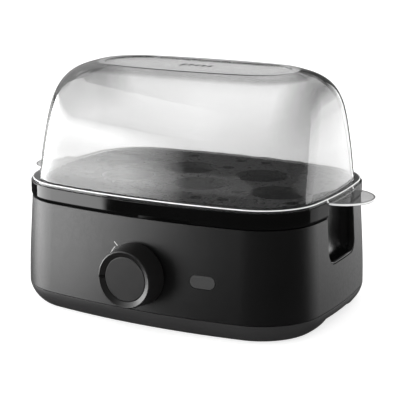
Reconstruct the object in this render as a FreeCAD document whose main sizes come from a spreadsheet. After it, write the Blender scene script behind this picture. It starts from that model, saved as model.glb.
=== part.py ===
import FreeCAD, Part
import math
import os

import Sketcher

# Egg cooker: an oval heated base, a lift-out egg tray and a clear domed lid.
# Millimetres. X runs along the length, -Y is the front with the control knob,
# +Z is up. The origin is the middle of the base, on the surface it stands on.

DIMENSIONS = [
    # the plan outline: a rectangle with round corners and bowed sides, at the rim of the lid
    ("half_length", 108.0),
    ("half_width", 77.9),
    ("front_bow", 468.4),
    ("end_bow", 308.4),
    ("corner", 41.4),
    # how far the body stands outside the rim outline at each height
    ("base_edge_out", -3.6),
    ("base_low_out", -0.6),
    ("base_high_out", 2.5),
    ("seam_out", 3.9),
    ("mid_out", 3.3),
    ("high_out", 2.0),
    ("housing_top_out", 0.7),
    ("band_foot_out", 0.3),
    ("band_out", 1.3),
    # heights
    ("base_edge_z", 0.6),
    ("underside_z", 3.0),
    ("base_low_z", 3.4),
    ("base_floor_z", 5.2),
    ("grip_roof_z", 7.5),
    ("base_high_z", 8.2),
    ("base_deck_z", 9.9),
    ("seam_z", 12.9),
    ("housing_foot_z", 13.4),
    ("mid_z", 34.0),
    ("high_z", 55.0),
    ("housing_top_z", 74.4),
    ("band_foot_z", 74.9),
    ("band_step_z", 77.0),
    ("bezel_top_z", 85.2),
    ("tray_z", 85.6),
    ("flange_foot_z", 85.5),
    ("flange_top_z", 87.3),
    # walls
    ("housing_wall", 2.4),
    ("bezel_plate", 1.8),
    ("bowl_wall", 1.6),
    ("tray_plate", 1.8),
    ("lid_wall", 2.0),
    # finger pockets in the two ends of the body
    ("pocket_half_width", 22.8),
    ("pocket_foot_z", 42.5),
    ("pocket_radius", 8.5),
    ("pocket_back_x", 96.5),
    ("liner_depth", 9.7),
    # where the long sides of the housing meet its corners, and how far their boxes reach past it
    ("section_x", 70.0),
    ("section_past", 20.0),
    ("section_end", 60.0),
    # lifting cut-outs under the two ends
    ("grip_half_top", 24.0),
    ("grip_half_foot", 31.0),
    ("grip_back_x", 96.0),
    # the dome of the lid: superellipses in both directions
    ("lid_half_length", 104.2),
    ("lid_half_width", 73.0),
    ("lid_dome", 79.9),
    ("lid_end_shape", 7.8),
    ("lid_end_round", 5.0),
    ("lid_side_shape", 4.5),
    ("lid_side_round", 2.7),
    ("lid_end_draft", 4.0),
    ("lid_side_draft", 6.5),
    ("tab_half_width", 22.0),
    ("tab_centre_x", 108.0),
    ("tab_foot_z", 83.5),
    ("tab_top_z", 85.2),
    # egg tray
    ("tray_in", -7.5),
    ("skirt_in", -14.0),
    ("egg_hole", 18.8),
    ("egg_pitch", 57.0),
    ("egg_stagger", 15.0),
    ("egg_row_y", 20.0),
    # water bowl
    ("ledge_in", -9.8),
    ("bowl_flange_in", -14.6),
    ("bowl_mouth_in", -19.0),
    ("bowl_floor_in", -29.0),
    ("ledge_z", 79.8),
    ("bowl_flange_z", 81.2),
    ("bowl_floor_z", 57.0),
    # heater under the bowl
    ("spreader_in", -35.0),
    ("spreader", 3.0),
    ("element_wire", 3.3),
    ("loop_half_length", 52.0),
    ("loop_half_width", 26.0),
    ("shield_in", -31.0),
    ("shield_z", 41.0),
    # control knob and the potentiometer behind it
    ("knob_z", 38.3),
    ("knob_back_y", -82.3),
    ("knob_depth", 15.9),
    ("knob_back_radius", 21.0),
    ("knob_front_radius", 18.9),
    ("knob_dish_radius", 15.0),
    ("shaft_radius", 3.0),
    # indicator lens
    ("lens_x", 46.5),
    ("lens_half_length", 8.5),
    ("lens_radius", 4.25),
    # control board
    ("board_y", -66.0),
    ("board_x", 16.0),
    ("board_half_length", 38.0),
    ("board_half_height", 13.5),
    ("board", 1.6),
    # power inlet in the back
    ("inlet_z", 26.0),
    ("inlet_bore", 3.6),
    # feet and screws
    ("foot_x", 82.0),
    ("foot_y", 48.0),
    ("foot_radius", 8.0),
    ("screw_x", 62.0),
    ("screw_y", 58.0),
]

doc = FreeCAD.newDocument("egg_cooker")
dims = doc.addObject("Spreadsheet::Sheet", "dims")
for row, (alias, size) in enumerate(DIMENSIONS, 1):
    dims.set("A%d" % row, alias)
    dims.set("B%d" % row, str(size))
    dims.setAlias("B%d" % row, alias)
doc.recompute()

X_AXIS = FreeCAD.Vector(1, 0, 0)
Y_AXIS = FreeCAD.Vector(0, 1, 0)
Z_AXIS = FreeCAD.Vector(0, 0, 1)
START, END, CENTRE = 1, 2, 3
ALIAS_ROWS = {alias: row for row, (alias, _) in enumerate(DIMENSIONS, 1)}
PARTS = []


def value(expression):
    """The number that a dimension, or an expression of dimensions, has now."""
    return float(dims.evalExpression(str(expression)))


def sheet(expression):
    """The same expression as another object has to write it, with every alias led by the sheet."""
    words = str(expression)
    for alias, _ in sorted(DIMENSIONS, key=lambda entry: -len(entry[0])):
        words = words.replace(alias, "@%d@" % ALIAS_ROWS[alias])
    for alias, number in ALIAS_ROWS.items():
        words = words.replace("@%d@" % number, "dims." + alias)
    return words



def new_body(label):
    body = doc.addObject("PartDesign::Body", label)
    body.Label = label
    return body


def kept(part, label=None):
    """Mark an object as a sub-part that is written out."""
    if label:
        part.Label = label
    PARTS.append(part)
    return part


def place(part, x=0, y=0, z=0, axis=Z_AXIS, angle=0):
    """Turn a sub-part and bind where it stands to the sheet."""
    part.Placement = FreeCAD.Placement(
        FreeCAD.Vector(value(x), value(y), value(z)), FreeCAD.Rotation(axis, angle)
    )
    for letter, expression in zip("xyz", (x, y, z)):
        part.setExpression("Placement.Base." + letter, sheet(expression))
    return part


# ---------------------------------------------------------------- sketches


def new_sketch(body, name, role="XY_Plane", level=0):
    plane = [item for item in body.Origin.OriginFeatures if item.Role == role][0]
    sketch = body.newObject("Sketcher::SketchObject", name)
    sketch.AttachmentSupport = [(plane, "")]
    sketch.MapMode = "FlatFace"
    sketch.setExpression(".AttachmentOffset.Base.z", sheet(level))
    return sketch


def bind(sketch, constraint, name, expression):
    index = sketch.addConstraint(constraint)
    sketch.renameConstraint(index, name)
    sketch.setExpression("Constraints." + name, sheet(expression))


def pin_point(sketch, geometry, end, x, y, name):
    """Hold a point of the sketch at two expressions from the origin."""
    across = Sketcher.Constraint("DistanceX", -1, 1, geometry, end, value(x))
    up = Sketcher.Constraint("DistanceY", -1, 1, geometry, end, value(y))
    bind(sketch, across, name + "_x", x)
    bind(sketch, up, name + "_y", y)


def arc(centre, radius, start, end):
    circle = Part.Circle(FreeCAD.Vector(centre.x, centre.y, 0), Z_AXIS, radius)
    return Part.ArcOfCircle(circle, start, end)


def bowed_corner(a, b, front, end, corner):
    """Centre of the corner arc that touches the front and the end arcs, and its two end angles."""
    front_centre = FreeCAD.Vector(0, front - b, 0)
    end_centre = FreeCAD.Vector(a - end, 0, 0)
    apart = front_centre.distanceToPoint(end_centre)
    reach_front, reach_end = front - corner, end - corner
    along = (reach_front**2 - reach_end**2 + apart**2) / (2 * apart)
    across = math.sqrt(reach_front**2 - along**2)
    toward = (end_centre - front_centre) / apart
    centre = front_centre + toward * along + FreeCAD.Vector(-toward.y, toward.x, 0) * across
    first = math.atan2(centre.y - front_centre.y, centre.x - front_centre.x)
    last = math.atan2(centre.y - end_centre.y, centre.x - end_centre.x)
    return centre, first, last


def add_outline(sketch, name, half_length, half_width, corner, front_bow, end_bow):
    """A rectangle with bowed sides and round corners: eight arcs, tangent all round."""
    a, b, rc = value(half_length), value(half_width), value(corner)
    front, end = value(front_bow), value(end_bow)
    centre, first, last = bowed_corner(a, b, front, end, rc)
    half_turn = math.pi
    at = FreeCAD.Vector
    arcs = [
        arc(at(0, front - b), front, -half_turn - first, first),
        arc(centre, rc, first, last),
        arc(at(a - end, 0), end, last, -last),
        arc(at(centre.x, -centre.y), rc, -last, -first),
        arc(at(0, b - front), front, -first, half_turn + first),
        arc(at(-centre.x, -centre.y), rc, half_turn + first, half_turn + last),
        arc(at(end - a, 0), end, half_turn + last, half_turn - last),
        arc(at(-centre.x, centre.y), rc, half_turn - last, half_turn - first),
    ]
    zero = sketch.GeometryCount
    sketch.addGeometry(arcs, False)
    for turn in range(8):
        here, there = zero + turn, zero + (turn + 1) % 8
        sketch.addConstraint(Sketcher.Constraint("Tangent", here, END, there, START))
    radius = Sketcher.Constraint
    bind(sketch, radius("Radius", zero, front), name + "_front_bow", front_bow)
    bind(sketch, radius("Radius", zero + 2, end), name + "_end_bow", end_bow)
    bind(sketch, radius("Radius", zero + 1, rc), name + "_corner", corner)
    for first_arc, second_arc in ((1, 3), (1, 5), (1, 7), (0, 4), (2, 6)):
        pair = Sketcher.Constraint("Equal", zero + first_arc, zero + second_arc)
        sketch.addConstraint(pair)
    rise = "(%s) - (%s)" % (front_bow, half_width)
    run = "(%s) - (%s)" % (half_length, end_bow)
    pin_point(sketch, zero, CENTRE, "0", rise, name + "_front")
    pin_point(sketch, zero + 4, CENTRE, "0", "-(%s)" % rise, name + "_back")
    pin_point(sketch, zero + 2, CENTRE, run, "0", name + "_right")
    pin_point(sketch, zero + 6, CENTRE, "-(%s)" % run, "0", name + "_left")


def add_body_outline(sketch, name, out):
    """The body's own outline, offset outwards by an expression."""
    add_outline(
        sketch,
        name,
        "half_length + %s" % out,
        "half_width + %s" % out,
        "corner + %s" % out,
        "front_bow + %s" % out,
        "end_bow + %s" % out,
    )


def body_outline(body, name, level, *outs):
    sketch = new_sketch(body, name, level=level)
    for number, out in enumerate(outs):
        add_body_outline(sketch, "ring%d" % number, "(%s)" % out)
    return sketch


def polygon(body, name, role, level, points):
    """A closed outline of straight lines, each corner held by two expressions."""
    sketch = new_sketch(body, name, role, level)
    at = [FreeCAD.Vector(value(x), value(y), 0) for x, y in points]
    count = len(points)
    for index in range(count):
        line = Part.LineSegment(at[index], at[(index + 1) % count])
        sketch.addGeometry(line, False)
    for index in range(count):
        after = (index + 1) % count
        join = Sketcher.Constraint("Coincident", index, END, after, START)
        sketch.addConstraint(join)
    for index, (x, y) in enumerate(points):
        pin_point(sketch, index, START, x, y, "corner%d" % index)
    return sketch


def circles(body, name, role, level, rounds):
    """Full circles, each as (x, y, radius)."""
    sketch = new_sketch(body, name, role, level)
    for index, (x, y, radius) in enumerate(rounds):
        centre = FreeCAD.Vector(value(x), value(y), 0)
        sketch.addGeometry(Part.Circle(centre, Z_AXIS, value(radius)), False)
        size = Sketcher.Constraint("Radius", index, value(radius))
        bind(sketch, size, "radius%d" % index, radius)
        pin_point(sketch, index, CENTRE, x, y, "centre%d" % index)
    return sketch


def add_rounded(sketch, name, x, y, half_x, half_y, radius):
    """A rectangle with four equal round corners, about a centre point."""
    cx, cy, hx, hy, r = (value(item) for item in (x, y, half_x, half_y, radius))
    zero = sketch.GeometryCount
    at = FreeCAD.Vector
    quarter = math.pi / 2
    corners = [(1, -1), (1, 1), (-1, 1), (-1, -1)]
    sides = [
        (at(cx - hx + r, cy - hy), at(cx + hx - r, cy - hy)),
        (at(cx + hx, cy - hy + r), at(cx + hx, cy + hy - r)),
        (at(cx + hx - r, cy + hy), at(cx - hx + r, cy + hy)),
        (at(cx - hx, cy + hy - r), at(cx - hx, cy - hy + r)),
    ]
    for turn, ((first, last), (way_x, way_y)) in enumerate(zip(sides, corners)):
        sketch.addGeometry(Part.LineSegment(first, last), False)
        centre = at(cx + way_x * (hx - r), cy + way_y * (hy - r))
        begin = quarter * (turn - 1)
        sketch.addGeometry(arc(centre, r, begin, begin + quarter), False)
    for turn in range(8):
        here, there = zero + turn, zero + (turn + 1) % 8
        sketch.addConstraint(Sketcher.Constraint("Tangent", here, END, there, START))
    for level_line in (0, 4):
        sketch.addConstraint(Sketcher.Constraint("Horizontal", zero + level_line))
    for upright in (2, 6):
        sketch.addConstraint(Sketcher.Constraint("Vertical", zero + upright))
    for turn in (3, 5, 7):
        sketch.addConstraint(Sketcher.Constraint("Equal", zero + 1, zero + turn))
    bind(sketch, Sketcher.Constraint("Radius", zero + 1, r), name + "_radius", radius)
    inner_x, inner_y = "((%s) - (%s))" % (half_x, radius), "((%s) - (%s))" % (half_y, radius)
    low_x, low_y = "(%s) - %s" % (x, inner_x), "(%s) - %s" % (y, inner_y)
    high_x, high_y = "(%s) + %s" % (x, inner_x), "(%s) + %s" % (y, inner_y)
    pin_point(sketch, zero + 7, CENTRE, low_x, low_y, name + "_low")
    pin_point(sketch, zero + 3, CENTRE, high_x, high_y, name + "_high")


def rounded(body, name, role, level, *shapes):
    sketch = new_sketch(body, name, role, level)
    for number, shape in enumerate(shapes):
        add_rounded(sketch, "box%d" % number, *shape)
    return sketch


# ---------------------------------------------------------------- features


def feature(body, kind, name):
    doc.recompute()
    return body.newObject("PartDesign::" + kind, name)


def finish_feature(body, item, before, adds):
    """Recompute, and make sure that the feature changed the volume the way it should."""
    doc.recompute()
    after = body.Shape.Volume if not body.Shape.isNull() else 0.0
    changed = after - before
    if (changed <= 1e-6) if adds else (changed >= -1e-6):
        raise ValueError("%s.%s changed the volume by %.3f" % (body.Label, item.Label, changed))
    return item


def volume(body):
    doc.recompute()
    return body.Shape.Volume if not body.Shape.isNull() else 0.0


def pad(body, name, sketch, length, flip=False):
    before = volume(body)
    item = feature(body, "Pad", name)
    item.Profile = sketch
    item.setExpression("Length", sheet(length))
    item.Reversed = flip
    return finish_feature(body, item, before, True)


def pocket(body, name, sketch, length, flip=False):
    """Cut from the sketch plane against its normal, or along it when flipped."""
    before = volume(body)
    item = feature(body, "Pocket", name)
    item.Profile = sketch
    item.setExpression("Length", sheet(length))
    item.Reversed = flip
    return finish_feature(body, item, before, False)


def loft(body, name, sections, cut=False, ruled=False):
    before = volume(body)
    item = feature(body, "SubtractiveLoft" if cut else "AdditiveLoft", name)
    item.Profile = sections[0]
    item.Sections = sections[1:]
    item.Ruled = ruled
    return finish_feature(body, item, before, not cut)


def revolve(body, name, sketch, cut=False):
    before = volume(body)
    item = feature(body, "Groove" if cut else "Revolution", name)
    item.Profile = sketch
    item.ReferenceAxis = (sketch, ["V_Axis"])
    item.Angle = 360
    return finish_feature(body, item, before, not cut)


def turned(label, profile):
    """A turned piece: (radius, height) corners spun about the local Z axis."""
    body = new_body(label)
    outline = polygon(body, label + "_profile", "XZ_Plane", 0, profile)
    revolve(body, label + "_turned", outline)
    return body


def block(label, x, y, z, half_x, half_y, height, radius):
    """A box with round upright edges, standing on its level."""
    body = new_body(label)
    plan = rounded(body, label + "_plan", "XY_Plane", z, (x, y, half_x, half_y, radius))
    pad(body, label + "_pad", plan, height)
    return body


def mirrored(part, axis, name):
    copy = doc.addObject("Part::Mirroring", name)
    copy.Source = part
    copy.Normal = axis
    return copy


def group_of(label, pieces):
    """Several separate solids of one kind, kept as one sub-part."""
    group = doc.addObject("Part::Compound", label)
    group.Links = pieces
    return kept(group, label)


def four_corners(label, part):
    """The piece and its three mirror images about the two middle planes."""
    across = mirrored(part, X_AXIS, label + "_across")
    behind = mirrored(part, Y_AXIS, label + "_behind")
    opposite = mirrored(across, Y_AXIS, label + "_opposite")
    return group_of(label, [part, across, behind, opposite])


def rounded_path(points, bend):
    """Straight runs through the points, joined by tangent arcs of one radius."""
    edges = []
    here = points[0]
    for before, corner, after in zip(points, points[1:], points[2:]):
        into = (corner - before).normalize()
        out = (after - corner).normalize()
        back = bend * math.tan(into.getAngle(out) / 2)
        first = corner - into * back
        last = corner + out * back
        inward = (out - into).normalize()
        depth = back * math.tan(into.getAngle(out) / 4)
        middle = corner + inward * depth
        edges.append(Part.LineSegment(here, first).toShape())
        edges.append(Part.Arc(first, middle, last).toShape())
        here = last
    edges.append(Part.LineSegment(here, points[-1]).toShape())
    return Part.Wire(edges)


def tube(label, points, bend, radius):
    """A round wire or rod along a path of (x, y, z) expressions."""
    path = [FreeCAD.Vector(*(value(item) for item in point)) for point in points]
    wire = rounded_path(path, bend)
    start = path[0]
    circle = Part.Circle(start, path[1] - start, value(radius)).toShape()
    rod = doc.addObject("Part::Feature", label)
    rod.Shape = Part.Solid(Part.Shell(wire.makePipeShell([Part.Wire(circle)], True, True).Faces))
    rod.Placement = FreeCAD.Placement()
    return kept(rod, label)


# ---------------------------------------------------------------- outer shell


def body_skin(body, name, out, foot="housing_foot_z", cut=False):
    """The bulging wall surface between the base and the band, offset by an expression."""
    levels = [
        (foot, "seam_out"),
        ("mid_z", "mid_out"),
        ("high_z", "high_out"),
        ("housing_top_z", "housing_top_out"),
    ]
    sections = [
        body_outline(body, "%s_%d" % (name, index), level, "%s + %s" % (reach, out))
        for index, (level, reach) in enumerate(levels)
    ]
    return loft(body, name, sections, cut)


def base_cover():
    body = new_body("base_cover")
    levels = [
        ("base_edge_z", "base_edge_out"),
        ("base_low_z", "base_low_out"),
        ("base_high_z", "base_high_out"),
        ("seam_z", "seam_out"),
    ]
    sections = [
        body_outline(body, "wall_%d" % index, level, reach)
        for index, (level, reach) in enumerate(levels)
    ]
    loft(body, "wall", sections)
    deck = body_outline(body, "deck_plan", "seam_z", "seam_out - housing_wall - 0.6")
    pocket(body, "deck", deck, "seam_z - base_deck_z")
    floor = new_sketch(body, "floor_plan", level="base_deck_z")
    add_outline(floor, "floor", "92", "half_width - 3.5", "34", "front_bow", "end_bow")
    pocket(body, "floor", floor, "base_deck_z - base_floor_z")
    under = body_outline(body, "under_plan", "base_edge_z", "base_edge_out - 3.4")
    pocket(body, "under", under, "underside_z - base_edge_z", flip=True)
    # the cord is wound round this low wall, whose end stands level with the feet
    hub = rounded(
        body,
        "hub_plan",
        "XY_Plane",
        0,
        ("0", "0", "36", "22", "20"),
        ("0", "0", "33.5", "19.5", "17.5"),
    )
    pad(body, "hub", hub, "underside_z + 0.4")
    # a cut-out under each end, to put the fingers in
    for side, face in (("right", 1), ("left", -1)):
        grip = polygon(
            body,
            "grip_" + side,
            "YZ_Plane",
            "%d * grip_back_x" % face,
            [
                ("-grip_half_foot", "-1"),
                ("grip_half_foot", "-1"),
                ("grip_half_top", "grip_roof_z"),
                ("-grip_half_top", "grip_roof_z"),
            ],
        )
        pocket(body, "grip_cut_" + side, grip, "20", flip=face > 0)
    # screw posts, drilled through with a sunk seat for the head
    corners = [(i * 1, j * 1) for i in (-1, 1) for j in (-1, 1)]
    spots = [("%d * screw_x" % i, "%d * screw_y" % j) for i, j in corners]
    posts = circles(body, "posts_plan", "XY_Plane", "base_floor_z", [(x, y, "5") for x, y in spots])
    pad(body, "posts", posts, "6.8")
    holes = circles(body, "holes_plan", "XY_Plane", "14", [(x, y, "1.7") for x, y in spots])
    pocket(body, "holes", holes, "14")
    seats = circles(body, "seats_plan", "XY_Plane", 0, [(x, y, "3.3") for x, y in spots])
    pocket(body, "seats", seats, "7.5", flip=True)
    # two groups of slots that let the inside breathe
    slots = [
        ("%d" % across, "%d" % back, "12", "1.3", "1.29")
        for across in (-40, 40)
        for back in (34, 40, 46)
    ]
    vents = rounded(body, "vents_plan", "XY_Plane", "base_floor_z", *slots)
    pocket(body, "vents", vents, "base_floor_z - underside_z")
    return kept(body)


def feet():
    for side, i in (("left", -1), ("right", 1)):
        for row, j in (("front", -1), ("back", 1)):
            foot = turned(
                "foot_%s_%s" % (row, side),
                [
                    ("0", "0"),
                    ("foot_radius - 1", "0"),
                    ("foot_radius", "1"),
                    ("foot_radius", "underside_z"),
                    ("0", "underside_z"),
                ],
            )
            place(foot, "%d * foot_x" % i, "%d * foot_y" % j, "0")
            kept(foot)


def screw_body(label, head, length, shank="1.5"):
    """A pan-head screw with a cross recess, head down at z = 0 and shank up."""
    body = turned(
        label,
        [
            ("0", "0"),
            ("%s - 0.6" % head, "0"),
            (head, "0.7"),
            (head, "1.8"),
            (shank, "1.8"),
            (shank, "%s - 1" % length),
            ("0.5", length),
            ("0", length),
        ],
    )
    for name, half_x, half_y in (("long", "1.5", "0.35"), ("wide", "0.35", "1.5")):
        recess = rounded(
            body, name + "_recess", "XY_Plane", 0, ("0", "0", half_x, half_y, "0.1")
        )
        pocket(body, name + "_cut", recess, "1", flip=True)
    return body


def base_screws():
    screw = screw_body("base_screw", "2.9", "20")
    place(screw, "screw_x", "screw_y", "5.5")
    return four_corners("base_screws", screw)


def pocket_shape(body, name, back, half_width, foot_z, radius):
    """The upright U of a finger pocket, on a plane across the length."""
    top = "bezel_top_z + 6"
    middle = "((%s) + (%s)) / 2" % (top, foot_z)
    half_height = "((%s) - (%s)) / 2" % (top, foot_z)
    shape = ("0", middle, half_width, half_height, radius)
    return rounded(body, name, "YZ_Plane", back, shape)


def housing():
    body = new_body("housing")
    body_skin(body, "skin", "0")
    body_skin(body, "hollow", "-housing_wall", cut=True)
    for side, face in (("right", 1), ("left", -1)):
        slot = pocket_shape(
            body,
            "slot_plan_" + side,
            "%d * 90" % face,
            "pocket_half_width",
            "pocket_foot_z",
            "pocket_radius",
        )
        pocket(body, "slot_" + side, slot, "30", flip=face > 0)
    shaft = circles(body, "shaft_hole_plan", "XZ_Plane", "60", [("0", "knob_z", "4.2")])
    pocket(body, "shaft_hole", shaft, "40", flip=True)
    window = rounded(
        body,
        "window_plan",
        "XZ_Plane",
        "60",
        ("lens_x", "knob_z", "lens_half_length + 0.3", "lens_radius + 0.3", "lens_radius + 0.29"),
    )
    pocket(body, "window", window, "40", flip=True)
    inlet = circles(body, "inlet_hole_plan", "XZ_Plane", "-60", [("0", "inlet_z", "6.6")])
    pocket(body, "inlet_hole", inlet, "40")
    # screw pillars tied to the wall by short ribs
    for side, i in (("right", 1), ("left", -1)):
        for row, j in (("back", 1), ("front", -1)):
            name = "%s_%s" % (row, side)
            spot = ("%d * screw_x" % i, "%d * screw_y" % j)
            web_y = "%d * (screw_y + 9.5)" % j
            web = rounded(
                body, "web_plan_" + name, "XY_Plane", "housing_foot_z + 0.4",
                (spot[0], web_y, "1.2", "8", "0.3"),
            )
            pad(body, "web_" + name, web, "18")
            pillar = circles(
                body, "pillar_plan_" + name, "XY_Plane", "housing_foot_z - 1", [spot + ("4.2",)]
            )
            pad(body, "pillar_" + name, pillar, "20")
            bore = circles(
                body, "bore_plan_" + name, "XY_Plane", "housing_foot_z - 1", [spot + ("1.5",)]
            )
            pocket(body, "bore_" + name, bore, "14", flip=True)
    return body


def section(label, part, x, y, length, width):
    """The stretch of a part that lies in an upright box, whose low corner is at x, y."""
    box = doc.addObject("Part::Box", label + "_box")
    box.setExpression("Length", sheet(length))
    box.setExpression("Width", sheet(width))
    box.setExpression("Height", sheet("bezel_top_z"))
    box.setExpression("Placement.Base.x", sheet(x))
    box.setExpression("Placement.Base.y", sheet(y))
    stretch = doc.addObject("Part::Common", label)
    stretch.Base = part
    stretch.Tool = box
    stretch.Label = label
    doc.recompute()
    return kept(stretch)


def housing_sections():
    """The housing wall as two long sides and four corners, which meet face to face."""
    whole = housing()
    front, side_depth = "-half_width - section_past", "half_width + section_past"
    section("housing_front", whole, "-section_x", front, "2 * section_x", side_depth)
    section("housing_back", whole, "-section_x", "0", "2 * section_x", side_depth)
    for side, x in (("right", "section_x"), ("left", "-section_x - section_end")):
        section("housing_front_" + side, whole, x, front, "section_end", side_depth)
        section("housing_back_" + side, whole, x, "0", "section_end", side_depth)


def bezel():
    body = new_body("bezel")
    # the glossy band, bevelled at its foot
    foot = body_outline(body, "band_0", "band_foot_z", "band_foot_out")
    step = body_outline(body, "band_1", "band_step_z", "band_out")
    loft(body, "band_bevel", [foot, step], ruled=True)
    band = body_outline(body, "band_2", "band_step_z", "band_out")
    pad(body, "band", band, "bezel_top_z - band_step_z")
    # a tongue that drops inside the housing
    tongue_out = "housing_top_out - housing_wall - 0.4"
    tongue = body_outline(body, "tongue_plan", "band_foot_z", tongue_out)
    pad(body, "tongue", tongue, "5", flip=True)
    inside = body_outline(body, "inside_plan", "60", tongue_out + " - 1.8")
    pocket(body, "inside", inside, "bezel_top_z - bezel_plate - 60", flip=True)
    # the step down to the ledge that carries the bowl
    well = body_outline(body, "well_plan", "bezel_top_z", "ledge_in")
    pocket(body, "well", well, "bezel_plate + 1")
    wall = body_outline(body, "wall_plan", "ledge_z - bezel_plate", "ledge_in + 1.8", "ledge_in")
    pad(body, "wall", wall, "bezel_top_z - ledge_z + bezel_plate - 0.5")
    ledge = body_outline(
        body, "ledge_plan", "ledge_z - bezel_plate", "ledge_in + 0.4", "bowl_mouth_in + 1.2"
    )
    pad(body, "ledge", ledge, "bezel_plate")
    # a gap at each end for the finger pocket and its liner
    for side, face in (("right", 1), ("left", -1)):
        seat = liner_shape(body, "seat_plan_" + side, face)
        pocket(body, "seat_" + side, seat, "liner_depth", flip=face > 0)
        mouth = mouth_shape(body, "mouth_plan_" + side, face)
        pocket(body, "mouth_" + side, mouth, "30", flip=face > 0)
    return kept(body)


def liner_shape(body, name, face):
    """The outside of a finger pocket's liner, on the plane of its back."""
    return pocket_shape(
        body,
        name,
        "%d * (pocket_back_x - bezel_plate)" % face,
        "pocket_half_width + 1.4",
        "pocket_foot_z - 1.9",
        "pocket_radius + 1.6",
    )


def mouth_shape(body, name, face):
    """The inside of a finger pocket, on the plane of its back wall."""
    return pocket_shape(
        body,
        name,
        "%d * pocket_back_x" % face,
        "pocket_half_width - 0.2",
        "pocket_foot_z + 0.2",
        "pocket_radius - 0.2",
    )


def pocket_liners():
    """A glossy scoop behind each finger pocket, with a closed back and an open top."""
    for side, face in (("right", 1), ("left", -1)):
        body = new_body("pocket_liner_" + side)
        outside = liner_shape(body, "outside_plan", face)
        pad(body, "outside", outside, "liner_depth", flip=face < 0)
        inside = mouth_shape(body, "inside_plan", face)
        pocket(body, "inside", inside, "30", flip=face > 0)
        top = rounded(
            body, "top_plan", "XY_Plane", "bezel_top_z", ("%d * 100" % face, "0", "16", "30", "1")
        )
        pocket(body, "top", top, "8", flip=True)
        kept(body)


# ---------------------------------------------------------------- water bowl and heater


def bowl_gasket():
    body = new_body("bowl_gasket")
    ring = body_outline(
        body, "ring_plan", "ledge_z", "bowl_flange_in - 0.2", "bowl_mouth_in + 1.3"
    )
    pad(body, "ring", ring, "bowl_flange_z - ledge_z")
    return kept(body)


def water_bowl():
    body = new_body("water_bowl")
    levels = [
        ("bowl_floor_z", "bowl_floor_in"),
        ("bowl_floor_z + 4", "bowl_floor_in + 4"),
        ("bowl_flange_z", "bowl_mouth_in"),
    ]
    outer = [
        body_outline(body, "outer_%d" % index, level, reach)
        for index, (level, reach) in enumerate(levels)
    ]
    loft(body, "outer", outer, ruled=True)
    flange = body_outline(body, "flange_plan", "bowl_flange_z", "bowl_flange_in")
    pad(body, "flange", flange, "1.4")
    inner = [
        body_outline(
            body,
            "inner_%d" % index,
            "%s + %s" % (level, "bowl_wall" if index < 2 else "1.4"),
            "%s - bowl_wall" % reach,
        )
        for index, (level, reach) in enumerate(levels)
    ]
    loft(body, "inner", inner, cut=True, ruled=True)
    return kept(body)


def heat_spreader():
    body = new_body("heat_spreader")
    plan = body_outline(body, "plate_plan", "bowl_floor_z - spreader", "spreader_in")
    pad(body, "plate", plan, "spreader")
    return kept(body)


def heating_element():
    """A sheathed rod: a long loop pressed to the plate, and two legs turned down at the back."""
    level = "bowl_floor_z - spreader - element_wire"
    leg, long, wide = "9", "loop_half_length", "loop_half_width"
    points = [
        (leg, wide, "shield_z - 6"),
        (leg, wide, level),
        (long, wide, level),
        (long, "-" + wide, level),
        ("-" + long, "-" + wide, level),
        ("-" + long, wide, level),
        ("-" + leg, wide, level),
        ("-" + leg, wide, "shield_z - 6"),
    ]
    return tube("heating_element", points, 6.5, "element_wire")


def element_insulators():
    """Ceramic collars where the two legs pass down through the shield."""
    collar = turned(
        "element_collar",
        [
            ("element_wire + 0.05", "-1.6"),
            ("element_wire + 1.9", "-1.6"),
            ("element_wire + 1.9", "0"),
            ("element_wire + 3.4", "0"),
            ("element_wire + 3.4", "2"),
            ("element_wire + 0.05", "2"),
        ],
    )
    place(collar, "9", "loop_half_width", "shield_z + 0.8")
    other = mirrored(collar, X_AXIS, "other_collar")
    return group_of("element_insulators", [collar, other])


def heat_shield():
    body = new_body("heat_shield")
    foot = body_outline(body, "outer_0", "shield_z", "shield_in - 3")
    rim = body_outline(body, "outer_1", "shield_z + 9", "shield_in")
    loft(body, "outer", [foot, rim], ruled=True)
    inner_foot = body_outline(body, "inner_0", "shield_z + 0.8", "shield_in - 3.8")
    inner_rim = body_outline(body, "inner_1", "shield_z + 9", "shield_in - 0.8")
    loft(body, "inner", [inner_foot, inner_rim], cut=True, ruled=True)
    legs = [("%d * 9" % side, "loop_half_width", "element_wire + 2") for side in (-1, 1)]
    middle = [("0", "0", "9")]
    bolts = [("%d * 34" % i, "%d * 10" % j, "1.7") for i in (-1, 1) for j in (-1, 1)]
    holes = circles(body, "holes_plan", "XY_Plane", "shield_z + 2", legs + middle + bolts)
    pocket(body, "holes", holes, "4")
    return kept(body)


def shield_posts():
    """Four spacers that hang the shield from the plate, with the screws that hold it."""
    post = turned(
        "shield_post",
        [
            ("1.6", "shield_z + 0.8"),
            ("3.2", "shield_z + 0.8"),
            ("3.2", "bowl_floor_z - spreader"),
            ("1.6", "bowl_floor_z - spreader"),
        ],
    )
    place(post, "34", "10", "0")
    return four_corners("shield_posts", post)


def shield_screws():
    screw = screw_body("shield_screw", "2.9", "13.5")
    place(screw, "34", "10", "shield_z - 1.8")
    return four_corners("shield_screws", screw)


def thermostat():
    body = turned(
        "thermostat",
        [
            ("0", "bowl_floor_z - spreader - 11.5"),
            ("6.6", "bowl_floor_z - spreader - 11.5"),
            ("7", "bowl_floor_z - spreader - 11"),
            ("7", "bowl_floor_z - spreader - 4.2"),
            ("8.4", "bowl_floor_z - spreader - 4.2"),
            ("8.4", "bowl_floor_z - spreader"),
            ("0", "bowl_floor_z - spreader"),
        ],
    )
    blades = rounded(
        body,
        "blades_plan",
        "XY_Plane",
        "bowl_floor_z - spreader - 18",
        ("-4", "0", "0.4", "3.15", "0.2"),
        ("4", "0", "0.4", "3.15", "0.2"),
    )
    pad(body, "blades", blades, "6.6")
    return kept(body)


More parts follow.
